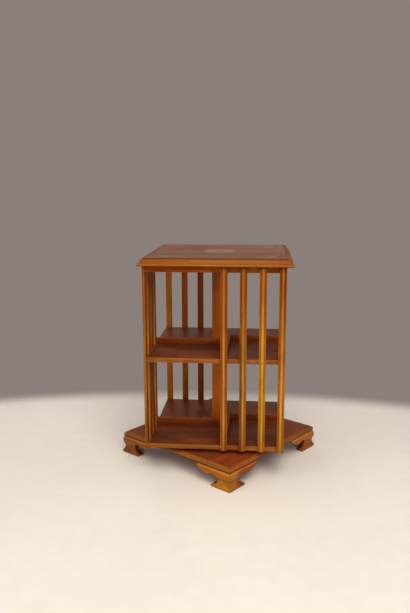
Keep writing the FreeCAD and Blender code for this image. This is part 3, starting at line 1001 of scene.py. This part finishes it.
class BOOKCASE_OT_top_field(Operator):
    """Model the board of the top with its inlaid fans and stringing"""

    bl_idname = "bookcase.top_field"
    bl_label = "Top And Inlay"

    def execute(self, context):
        sizes, woods = scene_settings()
        low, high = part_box("top_board")
        floor = high.z - sizes.inlay_depth
        gap = sizes.inlay_gap
        radius = sizes.fan_diameter / 2
        outer = high.x - sizes.string_inset
        inner = outer - sizes.string_width
        corner = inner - FAN_GAP

        board = block("top_field", low, high)
        recess_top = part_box("spindle")[1].z + NUT_CLEARANCE
        carve(board, disc("recess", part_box("spindle_nut")[1].y + NUT_CLEARANCE, low.z - OVERRUN, recess_top))
        carve(board, disc("pocket", radius + gap, floor, high.z + OVERRUN, vertices=FINE_ROUND))
        pocket = square("pocket", outer + gap, floor, high.z + OVERRUN)
        carve(pocket, square("core", inner - gap, floor - OVERRUN, high.z + 2 * OVERRUN))
        carve(board, pocket)

        string = square("stringing", outer, floor, high.z)
        carve(string, square("core", inner, floor - OVERRUN, high.z + OVERRUN))

        fans = []
        for signs in ((1, -1), (1, 1), (-1, 1), (-1, -1)):
            centre = [sign * corner for sign in signs]
            fans.append(self.quarter(signs, centre, sizes.corner_fan, 0.0, floor, high.z))
            carve(board, self.quarter(signs, centre, sizes.corner_fan, gap, floor, high.z + OVERRUN))
        rose = disc("fan", radius, floor, high.z, vertices=FINE_ROUND)
        for piece in (board, string, rose, *fans):
            lone(piece)
            bpy.ops.object.shade_smooth_by_angle(angle=SMOOTH_ANGLE)
        fit(board, "case", "top_veneer", self.field_finish(outer, high.x), "top_board")
        fit(string, "case", "top_veneer", self.string_finish())
        rose_wood = self.fan_finish("fan_marquetry", woods.inlay_light, radius, petals=16)
        fit(rose, "case", "top_veneer", rose_wood)
        quarter_wood = self.fan_finish("corner_fan_marquetry", woods.corner_light, sizes.corner_fan,
                                       petals=24, corner=corner)
        fit(join("corner_fans", fans), "case", "top_veneer", quarter_wood)
        return {"FINISHED"}

    def quarter(self, signs, centre, radius, gap, low, high):
        """A quarter fan between two heights, or the tool that cuts its pocket, wider by a gap."""
        fan = disc("quarter", radius + gap, low, high, centre, 96)
        near = [spot + sign * gap for spot, sign in zip(centre, signs)]
        far = [spot - sign * 2 * radius for spot, sign in zip(centre, signs)]
        limit_low = (*map(min, near, far), low - OVERRUN)
        limit_high = (*map(max, near, far), high + OVERRUN)
        return carve(fan, block("quarter_limit", limit_low, limit_high), "INTERSECT")

    def field_finish(self, border, edge):
        """Veneer of the field with a crossbanded border outside the stringing, a painted reflection that is
        lighter towards the back and darker along the front, and painted shade along its edge.
        """
        _, woods = scene_settings()
        finish = Finish("top_veneer")
        place = finish.place()
        x, y, _ = finish.parts(place)
        field = Timber(finish, place, "X", woods.top_light, woods.top_dark, 6.0, contrast=1.2)
        side_band = Timber(finish, place, "X", woods.top_light, woods.top_dark, 17.0, 0.7)
        end_band = Timber(finish, place, "Y", woods.top_light, woods.top_dark, 21.0, 0.7)
        across = (x.size() - y.size()).rise(-0.1 * MM, 0.1 * MM)
        banding = finish.mix(across, end_band.colour, side_band.colour)
        outside = x.size().most(y.size()).rise(border - 0.2 * MM, border)
        field.colour = finish.mix(outside, field.colour, banding)
        mitres = (x.size() - y.size()).size().fall(0.1 * MM, 0.35 * MM) * outside
        field.tint_where(mitres * 0.6, woods.pore_and_shade)
        # Painted reflection: the field is made lighter towards the back and right, and darker along the front.
        field.tint_where((y + x * 0.5).rise(-0.06, 0.24) * 0.3, brighter(woods.top_light, 1.4))
        field.tint_where(y.fall(-0.18, -0.10) * 0.3, woods.top_dark)
        # Painted shade along the edge, under the moulding's step.
        rim = edge - x.size().most(y.size())
        field.tint_where(rim.fall(0.8 * MM, 2.2 * MM) * 0.7, woods.pore_and_shade)
        smudge = finish.noise(place, 7.0, 3.0, 4.0)
        field.gloss = 0.26 + smudge * 0.18 + field.fibres * 0.05
        return field.done(0.12, 0.5)

    def string_finish(self):
        """Light wood of the stringing."""
        _, woods = scene_settings()
        finish = Finish("stringing_wood")
        wood = Timber(finish, finish.place(), "X", woods.string_light, woods.inlay_shade, 2.0)
        return wood.done(0.12, 0.5)

    def fan_finish(self, name, tint, radius, petals, corner=None):
        """Petals round a point, each scorched dark on one side, in a dark ground with light rims."""
        _, woods = scene_settings()
        finish = Finish(name)
        place = finish.place()
        x, y, _ = finish.parts(place)
        if corner is not None:
            tint = finish.mix((x + y).rise(0.0, 0.25), brighter(tint, 0.86), brighter(tint, 1.3))
            x, y = corner - x.size(), corner - y.size()
        reach = span(x, y) / radius
        turn = y.math("ARCTAN2", x) * (petals / (2 * math.pi))
        share = turn - turn.math("FLOOR")
        crown = (share - 0.5).size()
        tip = 0.86 - crown * crown * 0.34
        petal = (tip - reach).rise(0.0, 0.012) * reach.rise(0.10, 0.12)
        grain = finish.noise(place, 240.0, 4.0, 3.0)
        scorch = share.rise(0.35, 0.98) * 0.85 + reach.fall(0.20, 0.65)
        light = finish.mix((scorch + (grain - 0.5) * 0.3).least(1.0), tint, woods.inlay_shade)
        seam = (0.5 - crown) * reach * (2 * math.pi * radius / petals)
        light = finish.mix(seam.fall(0.0, 0.22 * MM) * 0.8, light, woods.pore_and_shade)
        ground = finish.mix(grain, woods.top_light, woods.top_dark)
        colour = finish.mix(petal, ground, light)
        rim = reach.rise(0.925, 0.93) * reach.fall(0.965, 0.97)
        button = reach.fall(0.075, 0.085)
        colour = finish.mix(rim.most(button), colour, tint)
        colour = finish.mix(reach.rise(0.97, 0.975), colour, (0.05, 0.018, 0.010))
        return finish.done(finish.surface(colour, 0.28 + grain * 0.12, grain, 0.02 * MM, Coat_Weight=0.12,
                                          Coat_Roughness=0.22, Specular_Tint=AMBER))


class BOOKCASE_OT_base(Operator):
    """Model the base board and its mitred mouldings"""

    bl_idname = "bookcase.base"
    bl_label = "Base"

    def execute(self, context):
        sizes, woods = scene_settings()
        turn = sizes.base_turn
        low, high = box_at("base_board", turn)
        board = block("base_top", low, high)
        carve(board, disc("hole", SPINDLE_HOLE, low.z - OVERRUN, high.z + OVERRUN))
        ease(board, 0.4 * sizes.arris)
        board.matrix_world = turned(turn)
        bpy.ops.object.transform_apply()
        finish = board_finish("base_veneer", (low, high), "X", woods.base_light, woods.base_dark, 5.0, turn)
        fit(board, "base", "base_veneer", finish, "base_board")

        low, high = box_at("base_edge_front", turn)
        outer, inner = -low.y, -high.y
        lip_top = low.z + sizes.base_lip
        curve_top = high.z - sizes.base_step
        step_line = inner + sizes.base_step
        share = 0.66
        steps = [
            [(inner, low.z)],
            [(outer, low.z)],
            [(outer, lip_top)],
            [(step_line + share * (outer - step_line), lip_top + share * (curve_top - lip_top)),
             (step_line, curve_top)],
            [(step_line, high.z)],
            [(inner, high.z)],
        ]
        pattern = ease(mitred_strip("base_moulding", steps, outer), sizes.fine_arris)
        # Lit and shaded copies of the moulding's wood for each side, darker and redder on the right.
        casts = {"front": (1.0, 0.96, 0.85), "right": (0.88, 0.78, 0.6), "back": UNTINTED,
                 "left": (0.96, 1.05, 1.05)}
        # A painted shadow along the lip's underside, and a dark joint along the top.
        lines = ((low.z, 2.0 * MM, 0.9, woods.grime_and_shade), (high.z, 0.7 * MM, 0.4, woods.pore_and_shade))
        for number, side, way, strip in on_four_sides(pattern, "base_moulding_%s", turn):
            light, dark = toned(casts[side], woods.border_light, woods.border_dark)
            finish = strip_finish("base_edge_wood_" + side, way, light, dark, 2.0 + 7 * number, lines=lines)
            fit(strip, "base", "base_edge_wood", finish, "base_edge_" + side)
        return {"FINISHED"}


class BOOKCASE_OT_feet(Operator):
    """Model the ogee bracket feet"""

    bl_idname = "bookcase.feet"
    bl_label = "Bracket Feet"

    def execute(self, context):
        sizes, woods = scene_settings()
        turn = sizes.base_turn
        low, high = box_at("front_foot_right_bracket", turn)
        height = high.z
        base_half = -box_at("base_edge_front", turn)[0].y
        toe = -low.y - TOE_SETBACK
        inner = base_half - sizes.foot_thickness
        waist = base_half - sizes.ogee_waist
        middle = base_half + (sizes.ogee_bulge - sizes.ogee_waist) / 2
        section = [
            [(inner, 0)],
            [(base_half, 0)],
            [(base_half + 0.85 * sizes.toe_flare, 0.04 * height), (toe, 0.115 * height)],
            [(waist, 0.355 * height), (middle, 0.52 * height)],
            [(base_half + sizes.ogee_bulge, 0.73 * height), (base_half - sizes.ogee_top_inset, height)],
            [(inner, height)],
        ]
        wing = high.x - low.x
        outline = [
            [(0.0, 0.0)],
            [(0.518, 0.0)],
            [(0.549, 0.062), (0.527, 0.138)],
            [(0.418, 0.212), (0.385, 0.385)],
            [(0.490, 0.690), (0.612, 0.625)],
            [(0.630, 0.585)],
            [(0.800, 0.620), (0.945, 0.790)],
            [(0.985, 0.890), (1.0, 1.0)],
            [(0.0, 1.0)],
        ]
        bar = drawn("bracket", section, lambda out, up: Vector((low.x - OVERRUN, -out, up)),
                    Vector((wing + 2 * OVERRUN, 0, 0)))
        behind = -inner + OVERRUN
        fret = drawn("fret", outline, lambda share, up: Vector((low.x + share * wing, behind, up * height)),
                     Vector((0, -toe - OVERRUN - behind, 0)))
        carve(bar, fret, "INTERSECT")
        slice_off(bar, (1, -1, 0))
        ease(bar, sizes.fine_arris)
        hands = {"right": bar, "left": mirrored(bar, "left_bracket", Vector((1, -1, 0)).normalized())}
        # Painted light and shade: lit and shaded copies of the wood on the front and left feet, as the light
        # falls on each wing.
        casts = {("front", "left"): (1.36, 1.54, 0.68), ("front", "right"): (1.04, 1.2, 1.2),
                 ("left", "right"): (0.78, 0.8, 1.1), ("left", "left"): (0.85, 0.9, 1.0)}
        # Grime along the toe's bottom, a painted shadow under the base's lip, and a painted highlight where
        # the ogee swells.
        lines = ((0.0, 2.6 * MM, 0.6, woods.grime_and_shade), (height, 3.4 * MM, 0.9, woods.grime_and_shade),
                 (height - 6.0 * MM, 2.4 * MM, 0.4, brighter(woods.foot_light, 1.3)))
        # Grime and painted shade on the cut faces behind the waist.
        cut_faces_dirty_and_shaded = (1.5 * MM - waist, 4 * MM - waist)
        for number, (side, quarter) in enumerate(SIDES.items()):
            for hand, pattern in hands.items():
                way = quarter + turn
                bracket = duplicate(pattern, "%s_foot_%s_wing" % (side, hand), turned(way))
                light, dark = toned(casts.get((side, hand), UNTINTED), woods.foot_light, woods.foot_dark)
                # Painted shade towards the outer end of the right wings.
                wing_end_shade = ()
                if hand == "right":
                    end = woods.foot_end_shade if side == "front" else brighter(dark, 1.2)
                    wing_end_shade = ((low.x + 24 * MM, low.x + 44 * MM, end),)
                else:
                    way -= math.radians(90)
                finish = strip_finish("foot_wood_%s_%s" % (side, hand), way, light, dark, 3.0 + 5 * number,
                                      lines=lines, cut_faces_dirty_and_shaded=cut_faces_dirty_and_shaded, shade_toward_ends=wing_end_shade, mitre_width=1.2 * MM)
                fit(bracket, "base", "foot_wood", finish, "%s_foot_%s_bracket" % (side, hand))
        for pattern in hands.values():
            bpy.data.objects.remove(pattern)
        return {"FINISHED"}


class BOOKCASE_OT_metalwork(Operator):
    """Finish the spindle, the bearing and the glue blocks, and model the screws"""

    bl_idname = "bookcase.metalwork"
    bl_label = "Metalwork"

    def execute(self, context):
        sizes, woods = scene_settings()
        nodes = frame["nodes"]
        steel = metal_finish("steel_worn", (0.50, 0.49, 0.47), (0.22, 0.19, 0.16), 0.32, 45.0)
        brass = metal_finish("brass_worn", (0.62, 0.43, 0.16), (0.30, 0.19, 0.07), 0.30, 60.0)
        for node in ("spindle", "spindle_nut", "lower_race", "upper_race", "bearing_balls"):
            coat(nodes[node], steel)
        for node in ("lower_bush", "upper_bush", "ball_cage"):
            coat(nodes[node], brass)
        finish = Finish("plain_wood")
        wood = Timber(finish, finish.place(sizes.base_turn), "Z", woods.plain_light, woods.plain_dark, 9.0)
        wood.gloss = 0.75 + wood.fibres * 0.1
        coat(nodes["foot_blocks"], wood.done(0.0, 0.3))

        width = sizes.screw_diameter
        head = disc("screw", width / 2, -HEAD_HEIGHT, 0.0, vertices=32)
        carve(head, block("slot", (-width, -SLOT_WIDTH / 2, -SLOT_DEPTH), (width, SLOT_WIDTH / 2, MM)))
        ease(head, HEAD_ARRIS)
        _, race_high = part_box("lower_race")
        race_circle = race_high.x - RACE_INSET
        rows = (
            ("plate_screws", "base", PLATE_CIRCLE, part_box("spindle")[0].z, True, 45),
            ("lower_race_screws", "base", race_circle, race_high.z, False, 45),
            ("upper_race_screws", "case", race_circle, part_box("upper_race")[0].z, True, 0),
            ("top_screws", "case", TOP_CIRCLE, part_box("case_top")[0].z, True, 45),
        )
        chance = random.Random(11)
        for name, body, radius, height, upside_down, first in rows:
            flip = Matrix.Rotation(math.pi if upside_down else 0.0, 4, "X")
            height += -HEAD_PROUD if upside_down else HEAD_PROUD
            screws = []
            for quarter in SIDES.values():
                way = math.radians(first) + quarter
                spot = (radius * math.cos(way), radius * math.sin(way), height)
                move = Matrix.Translation(spot) @ Matrix.Rotation(chance.uniform(0, 3), 4, "Z") @ flip
                screws.append(duplicate(head, "screw", move))
            fit(join(name, screws), body, "steel", steel)
        bpy.data.objects.remove(head)
        return {"FINISHED"}


class BOOKCASE_OT_studio(Operator):
    """Set up the floor, the backdrop, the lamps and the camera"""

    bl_idname = "bookcase.studio"
    bl_label = "Studio"

    def execute(self, context):
        studio = context.scene.bookcase_studio
        bpy.ops.object.select_all(action="DESELECT")
        bpy.ops.mesh.primitive_circle_add(vertices=96, radius=studio.floor_radius, fill_type="NGON")
        floor = named("floor")
        finish = Finish("pale_floor")
        place = finish.place()
        cloud = finish.noise(place, 1.6, 0.0, 4.0)
        specks = finish.noise(place, 26.0, 3.0, 4.0)
        patches = (cloud + specks * 0.5 - 0.25).rise(0.3, 0.7)
        tone = finish.mix(patches, brighter(studio.floor, 0.95), studio.floor)
        lit = finish.surface(tone, 0.8 + cloud * 0.1, Specular_IOR_Level=0.05)
        dim = finish.add("ShaderNodeEmission", inputs={"Color": (*studio.wall, 1.0), "Strength": 1.0})
        x, y, _ = finish.parts(place)
        pool = span(x, y - studio.pool_centre)
        pool = pool.rise(studio.pool_radius, studio.pool_radius + studio.pool_fade)
        reach = span(x, y).rise(studio.floor_reach, studio.floor_reach + studio.reach_fade)
        blend = finish.add("ShaderNodeMixShader", inputs={0: pool.most(reach), 1: lit, 2: dim})
        coat(floor, finish.done(blend))

        context.scene.world = bpy.data.worlds.new("studio_air")
        air = Finish("studio_air", context.scene.world)
        camera_ray, glossy_ray, through_ray = [air.add("ShaderNodeLightPath", output=kind) for kind in (
            "Is Camera Ray", "Is Glossy Ray", "Is Transmission Ray")]
        direct = camera_ray.most(glossy_ray).most(through_ray)
        glow = air.add("ShaderNodeBackground", inputs={"Color": (1.0, 0.97, 0.93, 1.0),
                                                       "Strength": studio.ambient})
        wall = air.add("ShaderNodeBackground", inputs={"Color": (*studio.wall, 1.0), "Strength": 1.0})
        sky = air.add("ShaderNodeMixShader", inputs={0: direct, 1: glow, 2: wall})
        air.add("ShaderNodeOutputWorld", inputs={"Surface": sky})

        lamps = (
            ("top_lamp", (0.0, -0.3, 2.8), 1.8, studio.top_power, (1.0, 0.97, 0.93)),
            ("front_lamp", (0.5, -2.0, 2.2), 1.8, studio.front_power, (1.0, 0.96, 0.90)),
            ("low_lamp", (0.3, -2.8, 0.65), 0.9, studio.low_power, (1.0, 0.96, 0.90)),
            ("back_lamp", (-0.7, 2.5, 1.3), 1.4, studio.back_power, (1.0, 0.97, 0.94)),
            ("side_lamp", (-2.2, -1.2, 1.8), 1.4, studio.side_power, (1.0, 0.96, 0.92)),
        )
        for row in lamps:
            self.lamp(*row)

        data = bpy.data.cameras.new("camera")
        camera = bpy.data.objects.new("camera", data)
        context.scene.collection.objects.link(camera)
        data.lens = studio.lens
        camera.matrix_world = (Matrix.Translation(studio.camera_place)
                               @ Matrix.Rotation(studio.heading, 4, "Z")
                               @ Matrix.Rotation(studio.tilt, 4, "X")
                               @ Matrix.Rotation(studio.roll, 4, "Z"))
        context.scene.camera = camera
        context.scene.view_settings.view_transform = "Standard"
        return {"FINISHED"}

    def lamp(self, name, place, size, power, tint):
        """A square soft lamp that points at the middle of the bookcase."""
        data = bpy.data.lights.new(name, "AREA")
        data.size = size
        data.energy = power
        data.color = tint
        lamp = bpy.data.objects.new(name, data)
        bpy.context.scene.collection.objects.link(lamp)
        aim = Vector(LAMP_AIM) - Vector(place)
        lamp.matrix_world = Matrix.Translation(place) @ aim.to_track_quat("-Z", "Y").to_matrix().to_4x4()
        lamp.visible_camera = False
        lamp.visible_glossy = name != "back_lamp"


PARTS = (BOOKCASE_OT_studio, BOOKCASE_OT_slats, BOOKCASE_OT_pins, BOOKCASE_OT_shelves, BOOKCASE_OT_column,
         BOOKCASE_OT_stops, BOOKCASE_OT_top_mouldings, BOOKCASE_OT_top_field, BOOKCASE_OT_base,
         BOOKCASE_OT_feet, BOOKCASE_OT_metalwork)


class BOOKCASE_PT_panel(Panel):
    """Lists the pieces of the bookcase and their settings"""

    bl_idname = "BOOKCASE_PT_panel"
    bl_label = "Revolving Bookcase"
    bl_space_type = "VIEW_3D"
    bl_region_type = "UI"
    bl_category = "Bookcase"

    def draw(self, context):
        for part in PARTS:
            self.layout.operator(part.bl_idname)
        for key in GROUPS:
            group = getattr(context.scene, key)
            box = self.layout.box()
            for name in group.bl_rna.properties.keys():
                if name not in ("rna_type", "name"):
                    box.prop(group, name)


GROUPS = {
    "bookcase_sizes": BookcaseSizes,
    "bookcase_woods": BookcaseWoods,
    "bookcase_studio": BookcaseStudio,
}


def register():
    """Register the classes and keep their settings on the scene."""
    for cls in (*GROUPS.values(), *PARTS, BOOKCASE_PT_panel):
        bpy.utils.register_class(cls)
    for name, group in GROUPS.items():
        setattr(bpy.types.Scene, name, PointerProperty(type=group))


def unregister():
    """Take the settings off the scene and unregister the classes."""
    for name in GROUPS:
        delattr(bpy.types.Scene, name)
    for cls in reversed((*GROUPS.values(), *PARTS, BOOKCASE_PT_panel)):
        bpy.utils.unregister_class(cls)


def main():
    """Make the whole bookcase."""
    register()
    for part in PARTS:
        group, _, name = part.bl_idname.partition(".")
        getattr(getattr(bpy.ops, group), name)()


if __name__ == "__main__":
    main()
